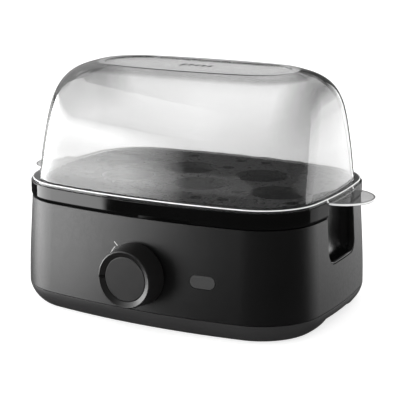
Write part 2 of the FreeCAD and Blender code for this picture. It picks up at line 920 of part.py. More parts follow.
def thermostat_clip():
    """A sprung strap that presses the thermostat's flange up to the plate."""
    body = new_body("thermostat_clip")
    strap = rounded(
        body,
        "strap_plan",
        "XY_Plane",
        "bowl_floor_z - spreader - 5.2",
        ("0", "0", "17", "5", "2"),
    )
    pad(body, "strap", strap, "0.9")
    hole = circles(
        body, "hole_plan", "XY_Plane", "bowl_floor_z - spreader", [("0", "0", "7.1")]
    )
    pocket(body, "hole", hole, "8")
    feet_plan = rounded(
        body,
        "feet_plan",
        "XY_Plane",
        "bowl_floor_z - spreader - 5.2",
        ("-15", "0", "1.8", "4", "1"),
        ("15", "0", "1.8", "4", "1"),
    )
    pad(body, "feet", feet_plan, "5.2")
    return kept(body)


def thermal_fuse():
    fuse = turned(
        "thermal_fuse",
        [
            ("0", "-17"),
            ("0.6", "-17"),
            ("0.6", "-7"),
            ("1.9", "-6"),
            ("1.9", "6"),
            ("0.6", "7"),
            ("0.6", "17"),
            ("0", "17"),
        ],
    )
    place(fuse, "0", "-18", "bowl_floor_z - spreader - 2.2", Y_AXIS, 90)
    return kept(fuse)


# ---------------------------------------------------------------- control knob


def knob():
    """The grip: a tapered cup whose face is dished down to a flat disc."""
    depth, front, back = "knob_depth", "knob_front_radius", "knob_back_radius"
    body = turned(
        "knob",
        [
            ("shaft_radius", "4"),
            ("6.2", "4"),
            ("6.2", "knob_depth - 5"),
            (back + " - 3", "knob_depth - 5"),
            (back + " - 2.2", "0"),
            (back + " - 0.5", "0"),
            (back, "0.8"),
            (front + " + 0.35", depth + " - 1"),
            (front, depth + " - 0.3"),
            (front + " - 0.6", depth),
            ("knob_dish_radius", depth + " - 1.9"),
            ("knob_dish_radius", depth + " - 3.2"),
            ("shaft_radius", depth + " - 3.2"),
        ],
    )
    notch = rounded(
        body,
        "notch_plan",
        "XY_Plane",
        depth + " - 3.6",
        ("-" + front, "0", "5", "0.95", "0.3"),
    )
    pocket(body, "notch", notch, "5", flip=True)
    place(body, "0", "knob_back_y", "knob_z", X_AXIS, 90)
    return kept(body)


def knob_cap():
    """The flat disc let into the face of the knob."""
    body = turned(
        "knob_cap",
        [
            ("0", "knob_depth - 3.2"),
            ("knob_dish_radius", "knob_depth - 3.2"),
            ("knob_dish_radius", "knob_depth - 2.2"),
            ("knob_dish_radius - 0.4", "knob_depth - 1.8"),
            ("0", "knob_depth - 1.8"),
        ],
    )
    place(body, "0", "knob_back_y", "knob_z", X_AXIS, 90)
    return kept(body)


def knob_spring():
    """A spring band round the hub, which grips the shaft."""
    body = turned(
        "knob_spring", [("6.2", "5"), ("6.9", "5"), ("6.9", "9"), ("6.2", "9")]
    )
    place(body, "0", "knob_back_y", "knob_z", X_AXIS, 90)
    return kept(body)


def control_shaft():
    body = turned(
        "control_shaft",
        [
            ("0", "-12"),
            ("shaft_radius", "-12"),
            ("shaft_radius", "knob_depth - 4.2"),
            ("shaft_radius - 0.6", "knob_depth - 3.6"),
            ("0", "knob_depth - 3.6"),
        ],
    )
    place(body, "0", "knob_back_y", "knob_z", X_AXIS, 90)
    return kept(body)


def control_body():
    """The potentiometer: a square can, a round collar through the wall and a bored middle."""
    body = turned(
        "control_body",
        [
            ("shaft_radius + 0.05", "-14.1"),
            ("8", "-14.1"),
            ("8", "-5"),
            ("3.9", "-5"),
            ("3.9", "3"),
            ("shaft_radius + 0.05", "3"),
        ],
    )
    can = rounded(
        body,
        "can_plan",
        "XY_Plane",
        "-14.1",
        ("0", "0", "8.4", "8.4", "1"),
        ("0", "0", "7.5", "7.5", "1"),
    )
    pad(body, "can", can, "9.1")
    lugs = rounded(
        body,
        "lugs_plan",
        "XY_Plane",
        "-14.1",
        ("-5", "-9.6", "0.7", "2", "0.3"),
        ("0", "-9.6", "0.7", "2", "0.3"),
        ("5", "-9.6", "0.7", "2", "0.3"),
    )
    pad(body, "lugs", lugs, "0.8")
    place(body, "0", "knob_back_y", "knob_z", X_AXIS, 90)
    return kept(body)


def control_nut():
    body = new_body("control_nut")
    corners = [
        ("5.6 * cos(%d)" % angle, "5.6 * sin(%d)" % angle)
        for angle in range(0, 360, 60)
    ]
    hexagon = polygon(body, "hexagon", "XY_Plane", "0.5", corners)
    pad(body, "nut", hexagon, "2.3")
    bore = circles(body, "bore_plan", "XY_Plane", "4", [("0", "0", "3.9")])
    pocket(body, "bore", bore, "5")
    place(body, "0", "knob_back_y", "knob_z", X_AXIS, 90)
    return kept(body)


# ---------------------------------------------------------------- electronics


def upright_block(label, x, z, half_x, half_z, radius, back_y, depth):
    """A box that stands out of the upright board towards the back."""
    body = new_body(label)
    plan = rounded(body, label + "_plan", "XZ_Plane", "-(%s)" % back_y, (x, z, half_x, half_z, radius))
    pad(body, label + "_pad", plan, depth, flip=True)
    return body


def circuit_board():
    body = upright_block(
        "circuit_board",
        "board_x",
        "knob_z - 4",
        "board_half_length",
        "board_half_height",
        "1.5",
        "board_y - board",
        "board",
    )
    holes = circles(
        body,
        "holes_plan",
        "XZ_Plane",
        "-board_y",
        [
            ("0", "knob_z", "4.2"),
            ("board_x - board_half_length + 4", "knob_z - 4 - board_half_height + 4", "1.6"),
            ("board_x + board_half_length - 4", "knob_z - 4 - board_half_height + 4", "1.6"),
        ],
    )
    pocket(body, "holes", holes, "4", flip=True)
    return kept(body)


def board_parts():
    """Relay, mains capacitor, supply coil and sounder on the back of the board."""
    kept(upright_block("relay", "30", "33", "9.5", "7.5", "0.6", "board_y", "14.5"))
    kept(upright_block("mains_capacitor", "51", "34", "6.5", "8.5", "0.8", "board_y", "9"))
    coil = turned(
        "supply_coil",
        [
            ("0", "0"),
            ("5.6", "0"),
            ("5.6", "1.2"),
            ("4.4", "1.6"),
            ("4.4", "9"),
            ("5.6", "9.4"),
            ("5.6", "10.6"),
            ("0", "10.6"),
        ],
    )
    place(coil, "12", "board_y", "31", X_AXIS, -90)
    kept(coil)
    sounder = turned(
        "sounder",
        [
            ("0", "0"),
            ("5.8", "0"),
            ("5.8", "7.2"),
            ("5.4", "7.6"),
            ("1.1", "7.6"),
            ("1.1", "6.4"),
            ("0", "6.4"),
        ],
    )
    place(sounder, "-8", "board_y", "29", X_AXIS, -90)
    kept(sounder)


def indicator_lamp():
    lamp = turned(
        "indicator_lamp",
        [
            ("0", "0"),
            ("2.9", "0"),
            ("2.9", "1"),
            ("2.5", "1.1"),
            ("2.5", "3.2"),
            ("1.7", "4.6"),
            ("0", "5.2"),
        ],
    )
    place(lamp, "lens_x", "board_y - board", "knob_z", X_AXIS, 90)
    return kept(lamp)


def indicator_lens():
    """A pill-shaped window that follows the curve of the wall, with a lip behind it."""
    body = new_body("indicator_lens")
    body_skin(body, "skin", "0")
    pill = ("lens_x", "knob_z", "lens_half_length", "lens_radius", "lens_radius - 0.01")
    around = rounded(
        body, "around_plan", "XZ_Plane", "120", ("0", "44", "140", "60", "1"), pill
    )
    pocket(body, "around", around, "240")
    behind = rounded(body, "behind_plan", "XZ_Plane", "74.7", ("0", "44", "140", "60", "1"))
    pocket(body, "behind", behind, "200")
    lip = rounded(
        body,
        "lip_plan",
        "XZ_Plane",
        "73.4",
        ("lens_x", "knob_z", "lens_half_length + 1.6", "lens_radius + 1.6", "lens_radius + 1.5"),
    )
    pad(body, "lip", lip, "1.3")
    return kept(body)


def board_posts():
    """Two posts that stand on the base floor and hold the board's lower corners."""
    plan = [
        ("board_x - board_half_length + 4", "board_y", "3.4", "3.6", "1"),
        ("board_x + board_half_length - 4", "board_y", "3.4", "3.6", "1"),
    ]
    pieces = []
    for name, shape in zip(("left", "right"), plan):
        body = new_body("board_post_" + name)
        foot = rounded(body, "foot_" + name, "XY_Plane", "base_floor_z", shape)
        pad(body, "post_" + name, foot, "knob_z - board_half_height + 0.4 - base_floor_z")
        slit = rounded(
            body,
            "slit_" + name,
            "XY_Plane",
            "knob_z - board_half_height - 4",
            (shape[0], "board_y - board / 2", "5", "board / 2", "0.1"),
        )
        pocket(body, "groove_" + name, slit, "8", flip=True)
        pieces.append(body)
    return group_of("board_posts", pieces)


def cord_inlet():
    """A flanged bushing in the back wall, with the bore that the cord goes through."""
    body = turned(
        "cord_inlet",
        [
            ("inlet_bore", "-6"),
            ("8.6", "-6"),
            ("8.6", "-3.6"),
            ("6.3", "-3.6"),
            ("6.3", "0"),
            ("9", "0"),
            ("9", "1.4"),
            ("8", "2.4"),
            ("inlet_bore + 0.8", "2.4"),
            ("inlet_bore", "1.6"),
        ],
    )
    place(body, "0", "half_width + seam_out + 0.2", "inlet_z", X_AXIS, -90)
    return kept(body)


def terminal_block():
    body = block("terminal_block", "0", "50", "base_floor_z", "16", "7", "13", "1")
    wells = circles(
        body,
        "wells_plan",
        "XY_Plane",
        "base_floor_z + 13",
        [("%d" % across, "50", "2.3") for across in (-10, 0, 10)],
    )
    pocket(body, "wells", wells, "8")
    wire_ways = circles(
        body,
        "ways_plan",
        "XZ_Plane",
        "-60",
        [("%d" % across, "base_floor_z + 4", "1.7") for across in (-10, 0, 10)],
    )
    pocket(body, "ways", wire_ways, "20", flip=True)
    return kept(body)


def terminal_screws():
    pieces = []
    for across in (-10, 0, 10):
        screw = turned(
            "terminal_screw_%d" % (across + 10),
            [("0", "0"), ("2.1", "0"), ("2.1", "4.4"), ("0", "4.4")],
        )
        name = "slot_%d" % (across + 10)
        slot = rounded(screw, name, "XY_Plane", "4.4", ("0", "0", "2.5", "0.35", "0.1"))
        pocket(screw, name + "_cut", slot, "1")
        place(screw, "%d" % across, "50", "base_floor_z + 5.2")
        pieces.append(screw)
    return group_of("terminal_screws", pieces)


def wires():
    """Insulated leads from the terminals to the element's legs and to the relay."""
    leg_foot = "shield_z - 6"
    tube(
        "wire_neutral",
        [
            ("-10", "43", "base_floor_z + 4"),
            ("-10", "34", "base_floor_z + 4"),
            ("-9", "loop_half_width", "base_floor_z + 10"),
            ("-9", "loop_half_width", leg_foot),
        ],
        4,
        "1.4",
    )
    tube(
        "wire_live",
        [
            ("10", "43", "base_floor_z + 4"),
            ("10", "30", "base_floor_z + 4"),
            ("20", "0", "base_floor_z + 5"),
            ("30", "-36", "base_floor_z + 8"),
            ("30", "-44", "30"),
            ("30", "board_y + 14.5", "30"),
        ],
        4,
        "1.4",
    )
    tube(
        "wire_load",
        [
            ("36", "board_y + 14.5", "36"),
            ("36", "-42", "36"),
            ("30", "-10", "26"),
            ("9", "14", "22"),
            ("9", "loop_half_width", "25"),
            ("9", "loop_half_width", leg_foot),
        ],
        3,
        "1.4",
    )


# ---------------------------------------------------------------- tray and lid


def egg_spots():
    """Six egg places in two rows that are staggered along the length."""
    spots = []
    for row in (-1, 1):
        for step in (-1, 0, 1):
            x = "%d * egg_pitch - %d * egg_stagger" % (step, row)
            spots.append((x, "%d * egg_row_y" % row))
    return spots


def steam_spots():
    """Small steam holes between the eggs and along both long edges."""
    front = [(-9, -33), (47, -31), (-27, -59), (-8, -57), (31, -57), (49, -54), (91, -42)]
    spots = front + [(-x, -y) for x, y in front]
    return [("%d" % x, "%d" % y) for x, y in spots]


def egg_tray():
    body = new_body("egg_tray")
    plate = body_outline(body, "plate_plan", "tray_z", "tray_in")
    pad(body, "plate", plate, "tray_plate")
    skirt = body_outline(body, "skirt_plan", "tray_z", "skirt_in", "skirt_in - 1.6")
    pad(body, "skirt", skirt, "2.6", flip=True)
    cups = circles(
        body, "cups_plan", "XY_Plane", "tray_z", [(x, y, "egg_hole + 1.6") for x, y in egg_spots()]
    )
    pad(body, "cups", cups, "2.6", flip=True)
    holes = circles(
        body, "holes_plan", "XY_Plane", "tray_z + 3", [(x, y, "egg_hole") for x, y in egg_spots()]
    )
    pocket(body, "holes", holes, "12")
    steam = circles(
        body, "steam_plan", "XY_Plane", "tray_z + 3", [(x, y, "4.4") for x, y in steam_spots()]
    )
    pocket(body, "steam", steam, "12")
    return kept(body)


LID_STEPS = (0, 0.2, 0.4, 0.58, 0.72, 0.83, 0.91, 0.965)


def lid_section(body, name, step, inset):
    """One level of the dome: both half sizes fall along a superellipse, and the corners shrink."""
    rise = "(%s * (lid_dome - %s))" % (step, inset)
    length = "((lid_half_length - %s - %s * tan(lid_end_draft)) * %s)" % (
        inset,
        rise,
        "(1 - %s ^ lid_end_shape) ^ (1 / lid_end_round)" % step,
    )
    width = "((lid_half_width - %s - %s * tan(lid_side_draft)) * %s)" % (
        inset,
        rise,
        "(1 - %s ^ lid_side_shape) ^ (1 / lid_side_round)" % step,
    )
    sketch = new_sketch(body, name, level="flange_top_z + " + rise)
    corner = "%s * (0.5 + 0.33 * %s)" % (width, step)
    front_bow = "front_bow * %s / lid_half_length" % length
    end_bow = "end_bow * %s / lid_half_width" % width
    add_outline(sketch, "level", length, width, corner, front_bow, end_bow)
    return sketch


def lid():
    body = new_body("lid")
    outer = [lid_section(body, "outer_%d" % i, step, "0") for i, step in enumerate(LID_STEPS)]
    loft(body, "outer", outer)
    flange = body_outline(body, "flange_plan", "flange_foot_z", "0")
    pad(body, "flange", flange, "flange_top_z - flange_foot_z")
    # a lifting tab at each end, one step below the flange
    for side, face in (("right", 1), ("left", -1)):
        root = rounded(
            body,
            "root_plan_" + side,
            "XY_Plane",
            "tab_foot_z",
            ("%d * 100" % face, "0", "6.6", "tab_half_width", "0.5"),
        )
        pad(body, "root_" + side, root, "flange_top_z - tab_foot_z")
        oval = rounded(
            body,
            "tab_plan_" + side,
            "XY_Plane",
            "tab_foot_z",
            (
                "%d * (tab_centre_x - 6)" % face,
                "0",
                "tab_half_width + 6",
                "tab_half_width",
                "tab_half_width - 0.01",
            ),
        )
        pad(body, "tab_" + side, oval, "tab_top_z - tab_foot_z")
    inner = [
        lid_section(body, "inner_%d" % i, step, "lid_wall") for i, step in enumerate(LID_STEPS)
    ]
    loft(body, "inner", inner, cut=True)
    mouth = lid_section(body, "mouth_plan", 0, "lid_wall")
    pocket(body, "mouth", mouth, "8")
    # a shallow panel sunk in the top, with a row of steam slots
    panel_z = "flange_top_z + %s * lid_dome" % LID_STEPS[-1]
    panel = rounded(body, "panel_plan", "XY_Plane", panel_z, ("0", "0", "68", "24", "22"))
    pocket(body, "panel", panel, "0.7")
    slots = [("%d" % across, "0", "1.2", "5", "1.19") for across in (-10, -5, 0, 5, 10)]
    vents = rounded(body, "vents_plan", "XY_Plane", panel_z, *slots)
    pocket(body, "vents", vents, "6")
    return kept(body)


# ---------------------------------------------------------------- build and write

for make in (
    base_cover, feet, base_screws, housing_sections, bezel, pocket_liners, bowl_gasket,
    water_bowl, heat_spreader, heating_element, element_insulators, heat_shield, shield_posts, shield_screws, thermostat,
    thermostat_clip, thermal_fuse, knob, knob_cap, knob_spring, control_shaft, control_body,
    control_nut, circuit_board, board_parts, indicator_lamp, indicator_lens, board_posts,
    cord_inlet, terminal_block, terminal_screws, wires, egg_tray, lid,
):
    make()
doc.recompute()

for item in doc.Objects:
    if {"Invalid", "Error"} & set(item.State):
        raise ValueError("%s failed to compute" % item.Label)
for part in PARTS:
    if part.Shape.isNull() or not part.Shape.isValid():
        raise ValueError("%s has no valid shape" % part.Label)

os.makedirs("parts", exist_ok=True)
for part in PARTS:
    part.Shape.exportStep("parts/%s.step" % part.Label)
print("wrote %d sub-parts" % len(PARTS))
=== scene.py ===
"""Looks of the egg cooker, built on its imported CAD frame. Metres, +Z up, front towards -Y."""

import math

import bpy
from mathutils import Euler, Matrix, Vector
from mathutils.bvhtree import BVHTree
from mathutils.geometry import convex_hull_2d


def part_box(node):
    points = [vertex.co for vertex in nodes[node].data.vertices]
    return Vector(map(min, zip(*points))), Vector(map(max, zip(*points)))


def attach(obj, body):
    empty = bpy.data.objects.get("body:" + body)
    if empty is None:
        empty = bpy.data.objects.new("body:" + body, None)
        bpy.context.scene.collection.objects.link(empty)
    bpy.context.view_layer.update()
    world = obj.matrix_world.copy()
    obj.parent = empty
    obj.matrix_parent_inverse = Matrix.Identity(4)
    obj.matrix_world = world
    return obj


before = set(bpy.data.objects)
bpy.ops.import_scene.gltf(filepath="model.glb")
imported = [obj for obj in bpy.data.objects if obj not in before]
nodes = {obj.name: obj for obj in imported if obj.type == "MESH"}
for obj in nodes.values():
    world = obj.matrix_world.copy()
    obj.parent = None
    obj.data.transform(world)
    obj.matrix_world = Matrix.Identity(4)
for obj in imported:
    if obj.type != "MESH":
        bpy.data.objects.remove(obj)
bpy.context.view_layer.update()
scene = bpy.context.scene

# ---------------------------------------------------------------- camera

CAMERA_AZIMUTH = math.radians(28.25)
CAMERA_TILT = math.radians(14.07)
CAMERA_DISTANCE = 0.8739
CAMERA_TARGET = Vector((-0.00135, 0, 0.06863))
CAMERA_LENS = 112.56
CAMERA_SHIFT = (0.0139, 0.0023)


def direction(azimuth, elevation):
    """The unit vector out from the object; azimuth 0 is its front and pi / 2 its right end."""
    flat = math.cos(elevation)
    return Vector((math.sin(azimuth) * flat, -math.cos(azimuth) * flat, math.sin(elevation)))


camera_data = bpy.data.cameras.new("camera")
camera_data.sensor_width = 36
camera_data.lens = CAMERA_LENS
camera_data.shift_x, camera_data.shift_y = CAMERA_SHIFT
camera = bpy.data.objects.new("camera", camera_data)
camera.location = CAMERA_TARGET + direction(CAMERA_AZIMUTH, CAMERA_TILT) * CAMERA_DISTANCE
camera.rotation_euler = Euler((math.pi / 2 - CAMERA_TILT, 0, CAMERA_AZIMUTH))
scene.collection.objects.link(camera)
scene.camera = camera
scene.view_settings.view_transform = "Standard"

# ---------------------------------------------------------------- helpers


def between(ends, part):
    """The number that lies a part of the way from the first end to the second."""
    return ends[0] + (ends[1] - ends[0]) * part


def surface(name, corners, faces, material):
    """A new mesh object, linked to the scene, in one material."""
    mesh = bpy.data.meshes.new(name)
    mesh.from_pydata(corners, [], faces)
    mesh.materials.append(material)
    piece = bpy.data.objects.new(name, mesh)
    scene.collection.objects.link(piece)
    return piece


def skin_of(*names):
    """A search tree of the surfaces of one or more CAD nodes."""
    corners, polygons = [], []
    for name in names:
        mesh = nodes[name].data
        polygons += [tuple(len(corners) + i for i in p.vertices) for p in mesh.polygons]
        corners += [v.co.copy() for v in mesh.vertices]
    return BVHTree.FromPolygons(corners, polygons)


class Nodes:
    """A small helper that adds and wires the nodes of one tree."""

    def __init__(self, tree):
        self.tree = tree
        tree.nodes.clear()

    def add(self, kind, **settings):
        node = self.tree.nodes.new("ShaderNode" + kind)
        for name, setting in settings.items():
            setattr(node, name, setting)
        return node

    def put(self, node, socket, source):
        """Wire a source socket to a node's input, or set its plain value."""
        target = node.inputs[socket]
        if isinstance(source, bpy.types.NodeSocket):
            self.tree.links.new(source, target)
        else:
            target.default_value = source

    def object_coordinates(self):
        return self.add("TexCoord").outputs["Object"]

    def noise(self, scale, detail=3.0, stretch=None):
        """Cloudy noise fixed to the object, squeezed along its axes by stretch."""
        where = self.object_coordinates()
        if stretch:
            mapping = self.add("Mapping")
            self.put(mapping, "Vector", where)
            self.put(mapping, "Scale", stretch)
            where = mapping.outputs["Vector"]
        node = self.add("TexNoise")
        self.put(node, "Vector", where)
        self.put(node, "Scale", scale)
        self.put(node, "Detail", detail)
        return node.outputs["Fac"]

    def span(self, fac, low, high, start=0.3, end=0.7):
        """Map a factor between start and end to the numbers low and high."""
        node = self.add("MapRange")
        for socket, number in (
            ("Value", fac), ("From Min", start), ("From Max", end), ("To Min", low), ("To Max", high)
        ):
            self.put(node, socket, number)
        return node.outputs["Result"]

    def blend(self, fac, first, second):
        node = self.add("Mix", data_type="RGBA")
        self.put(node, 0, fac)
        self.put(node, 6, (*first, 1) if isinstance(first, tuple) else first)
        self.put(node, 7, (*second, 1) if isinstance(second, tuple) else second)
        return node.outputs[2]

    def product(self, first, second):
        node = self.add("Math", operation="MULTIPLY")
        self.put(node, 0, first)
        self.put(node, 1, second)
        return node.outputs[0]

    def size_of(self, number):
        """A number without its sign."""
        node = self.add("Math", operation="ABSOLUTE")
        self.put(node, 0, number)
        return node.outputs[0]

    def axes_of(self, vector):
        """The parts of a vector, named X, Y and Z."""
        node = self.add("SeparateXYZ")
        self.put(node, "Vector", vector)
        return node.outputs

    def bump(self, height, strength, distance, normal=None):
        node = self.add("Bump")
        self.put(node, "Height", height)
        self.put(node, "Strength", strength)
        self.put(node, "Distance", distance)
        if normal:
            self.put(node, "Normal", normal)
        return node.outputs["Normal"]

    def mixed(self, fac, first, second):
        """A shader that turns from the first into the second as the factor goes from 0 to 1."""
        node = self.add("MixShader")
        self.put(node, 0, fac)
        self.put(node, 1, first)
        self.put(node, 2, second)
        return node.outputs["Shader"]

    def softened(self, radius):
        """Normals that round the hard edges of a moulding."""
        node = self.add("Bevel", samples=6)
        self.put(node, "Radius", radius)
        return node.outputs["Normal"]


def new_material(name):
    """A material with a Principled surface, and its tree, shader and output."""
    material = bpy.data.materials.new("look_" + name)
    material.use_nodes = True
    tree = Nodes(material.node_tree)
    shader = tree.add("BsdfPrincipled")
    output = tree.add("OutputMaterial")
    tree.put(output, "Surface", shader.outputs["BSDF"])
    return material, tree, shader, output


# ---------------------------------------------------------------- looks of the CAD nodes

PLASTIC_IOR = 1.45
CLEAR_IOR = 1.49


def moulded(name, dark, light, rough, grain, grain_depth, edge=0.0004):
    """Moulded plastic or rubber: faint cloudiness, spark-eroded grain and softened edges.

    An edge of None leaves the edges alone, where pieces of one wall meet face to face.
    """
    material, tree, shader, _ = new_material(name)
    clouds = tree.noise(22, 2)
    tree.put(shader, "Base Color", tree.blend(tree.span(clouds, 0, 1), dark, light))
    tree.put(shader, "Roughness", tree.span(tree.noise(grain * 0.35), *rough))
    tree.put(shader, "IOR", PLASTIC_IOR)
    speckle = tree.noise(grain, 4)
    softened = tree.softened(edge) if edge else None
    tree.put(shader, "Normal", tree.bump(speckle, 0.35, grain_depth, softened))
    return material


def metal(name, dark, light, rough, brush=(1, 1, 1), scale=260):
    """Bare or plated metal with fine streaks, which brush presses together along an axis."""
    material, tree, shader, _ = new_material(name)
    streaks = tree.noise(scale, 5, brush)
    tree.put(shader, "Base Color", tree.blend(tree.span(streaks, 0, 1), dark, light))
    tree.put(shader, "Metallic", 1.0)
    tree.put(shader, "Roughness", tree.span(streaks, *rough))
    tree.put(shader, "Normal", tree.bump(streaks, 0.35, 0.00005, tree.softened(0.0002)))
    return material


# Where painted shade darkens the lid's plastic: the heights, distances from the middle and tilts of the
# surface between which each shade comes in, and how much of the light is left where it is full.
FOOT_HEIGHTS, FOOT_LIGHT = (0.085, 0.135), 0.8
CROWN_RISE, CROWN_FLAT, CROWN_LIGHT = (0.9, 0.94), (0.955, 0.998), 0.62
SIDE_REACHES, SIDE_HEIGHTS, SIDE_LIGHT = (0.03, 0.1), (0.135, 0.155), 0.8
END_REACHES, END_HEIGHTS, END_LIGHT = (0.078, 0.094), (0.118, 0.156), 0.36
CLEAR = (0.97, 0.97, 0.97)


def lid_painted_shade(tree):
    """Painted shade of the lid's plastic: how much light it leaves from place to place, as a part of the
    most.
    """
    where = tree.axes_of(tree.object_coordinates())
    normal = tree.axes_of(tree.add("NewGeometry").outputs["Normal"])
    height, reach, tilt = where["Z"], tree.size_of(where["X"]), tree.size_of(normal["Z"])
    # painted shade: darker towards the foot, on the crown fillet, at the sides and at the ends
    light_left_by_painted_shade = tree.span(height, FOOT_LIGHT, 1, *FOOT_HEIGHTS)
    crown = tree.product(tree.span(tilt, 0, 1, *CROWN_RISE), tree.span(tilt, 1, 0, *CROWN_FLAT))
    side = tree.product(tree.span(reach, 0, 1, *SIDE_REACHES), tree.span(height, 1, 0, *SIDE_HEIGHTS))
    end = tree.product(tree.span(reach, 0, 1, *END_REACHES), tree.span(height, 0, 1, *END_HEIGHTS))
    for shade, light in ((crown, CROWN_LIGHT), (side, SIDE_LIGHT), (end, END_LIGHT)):
        light_left_by_painted_shade = tree.product(light_left_by_painted_shade, tree.span(shade, 1, light, 0, 1))
    return light_left_by_painted_shade


def lid_clear():
    """Clear moulded plastic, faintly smoked and hazy, with painted shade in its tint, which lets lamps
    reach what it covers.
    """
    material, tree, shader, output = new_material("lid_clear")
    # the painted shade darkens the tint towards black
    tree.put(shader, "Base Color", tree.blend(lid_painted_shade(tree), (0.0, 0.0, 0.0), CLEAR))
    tree.put(shader, "Transmission Weight", 1.0)
    tree.put(shader, "IOR", CLEAR_IOR)
    tree.put(shader, "Roughness", tree.span(tree.noise(9, 2), 0.015, 0.05))
    tree.put(shader, "Normal", tree.bump(tree.noise(14, 1), 0.05, 0.0006))
    haze = tree.add("BsdfDiffuse")
    tree.put(haze, "Color", (0.9, 0.9, 0.9, 1))
    hazy = tree.mixed(
        tree.span(tree.noise(6, 2), 0.009, 0.014), shader.outputs["BSDF"], haze.outputs["BSDF"]
    )
    shadow = tree.add("BsdfTransparent")
    tree.put(shadow, "Color", (0.82, 0.82, 0.82, 1))
    shadow_rays = tree.add("LightPath").outputs["Is Shadow Ray"]
    tree.put(output, "Surface", tree.mixed(shadow_rays, hazy, shadow.outputs["BSDF"]))
    depth = tree.add("VolumeAbsorption")
    tree.put(depth, "Color", (0.5, 0.5, 0.5, 1))
    tree.put(depth, "Density", 62.0)
    tree.put(output, "Volume", depth.outputs["Volume"])
    return material


def gloss_black():
    """Polished black moulding with faint wiping haze."""
    material, tree, shader, _ = new_material("gloss_black")
    clouds = tree.noise(30, 2)
    tree.put(shader, "Base Color", tree.blend(clouds, (0.001, 0.001, 0.001), (0.0025, 0.0025, 0.0025)))
    haze = tree.noise(35, 4, (1, 1, 3))
    tree.put(shader, "Roughness", tree.span(haze, 0.035, 0.09))
    tree.put(shader, "IOR", 1.42)
    tree.put(shader, "Normal", tree.bump(tree.noise(40, 1), 0.06, 0.0002, tree.softened(0.0004)))
    return material


def bowl_coating():
    """Dark non-stick coating with pale flecks."""
    material, tree, shader, _ = new_material("bowl_coating")
    flecks = tree.add("TexVoronoi")
    tree.put(flecks, "Vector", tree.object_coordinates())
    tree.put(flecks, "Scale", 420.0)
    fleck = tree.span(flecks.outputs["Distance"], 1, 0, 0.08, 0.2)
    tree.put(shader, "Base Color", tree.blend(fleck, (0.022, 0.022, 0.023), (0.16, 0.16, 0.16)))
    tree.put(shader, "Roughness", tree.span(tree.noise(300), 0.28, 0.42))
    tree.put(shader, "Normal", tree.bump(tree.noise(700), 0.25, 0.0001, tree.softened(0.0005)))
    return material


def board_green():
    """Green solder mask over copper tracks."""
    material, tree, shader, _ = new_material("board_green")
    tracks = tree.add("TexBrick")
    tree.put(tracks, "Vector", tree.object_coordinates())
    tree.put(tracks, "Scale", 160.0)
    tree.put(tracks, "Mortar Size", 0.05)
    green = tree.blend(tracks.outputs["Fac"], (0.012, 0.11, 0.045), (0.03, 0.2, 0.075))
    tree.put(shader, "Base Color", green)
    tree.put(shader, "Roughness", tree.span(tree.noise(500), 0.25, 0.4))
    tree.put(shader, "Normal", tree.bump(tracks.outputs["Fac"], 0.4, 0.00005))
    return material


def coil_copper():
    """Enamelled copper wire wound in close turns."""
    material, tree, shader, _ = new_material("coil_copper")
    turns = tree.add("TexWave", bands_direction="Y")
    tree.put(turns, "Vector", tree.object_coordinates())
    tree.put(turns, "Scale", 420.0)
    copper = tree.blend(turns.outputs["Fac"], (0.18, 0.05, 0.02), (0.62, 0.25, 0.11))
    tree.put(shader, "Base Color", copper)
    tree.put(shader, "Metallic", 0.9)
    tree.put(shader, "Roughness", tree.span(tree.noise(400), 0.2, 0.35))
    tree.put(shader, "Normal", tree.bump(turns.outputs["Fac"], 0.6, 0.0002))
    return material


# Dark and light tint, least and most roughness, how fine and how deep the grain is, and the rounding
# of the edges where it isn't the usual one.
MOULDED = {
    "housing_black": (
        (0.003, 0.0029, 0.003), (0.0042, 0.0041, 0.0042), (0.36, 0.44), 1500, 0.00006, None
    ),
    "base_black": ((0.021, 0.0206, 0.021), (0.025, 0.0245, 0.025), (0.4, 0.5), 1300, 0.00008),
    "knob_black": (
        (0.007, 0.0067, 0.0067), (0.0085, 0.0082, 0.0082), (0.3, 0.38), 1700, 0.00005, 0.0005
    ),
    "tray_black": ((0.024, 0.024, 0.024), (0.032, 0.032, 0.032), (0.25, 0.34), 900, 0.00005, 0.0006),
    "ceramic": ((0.68, 0.65, 0.58), (0.78, 0.75, 0.7), (0.5, 0.65), 1100, 0.00008, 0.0002),
    "silicone": ((0.3, 0.3, 0.31), (0.36, 0.36, 0.37), (0.42, 0.55), 600, 0.00005, 0.0003),
    "foot_rubber": ((0.02, 0.02, 0.02), (0.03, 0.03, 0.03), (0.62, 0.8), 800, 0.0001),
    "lens_grey": ((0.036, 0.036, 0.036), (0.042, 0.042, 0.042), (0.3, 0.36), 1900, 0.00003, 0.0003),
    "phenolic": ((0.03, 0.016, 0.01), (0.05, 0.028, 0.018), (0.35, 0.5), 700, 0.00008, 0.0003),
    "relay_blue": ((0.012, 0.05, 0.2), (0.016, 0.07, 0.26), (0.25, 0.38), 1200, 0.00005),
    "capacitor_yellow": ((0.62, 0.4, 0.03), (0.75, 0.5, 0.05), (0.25, 0.38), 1000, 0.00005),
    "part_black": ((0.012, 0.012, 0.012), (0.018, 0.018, 0.018), (0.35, 0.5), 1200, 0.00006),
    "lamp_red": ((0.35, 0.012, 0.01), (0.5, 0.02, 0.015), (0.12, 0.2), 900, 0.00002, 0.0002),
    "terminal_white": ((0.62, 0.6, 0.56), (0.72, 0.7, 0.66), (0.4, 0.52), 900, 0.00006, 0.0003),
    "wire_blue": ((0.012, 0.05, 0.3), (0.016, 0.07, 0.38), (0.4, 0.5), 900, 0.00004, 0.0002),
    "wire_brown": ((0.1, 0.04, 0.018), (0.14, 0.06, 0.026), (0.4, 0.5), 900, 0.00004, 0.0002),
    "wire_white": ((0.6, 0.6, 0.58), (0.72, 0.72, 0.7), (0.4, 0.5), 900, 0.00004, 0.0002),
}
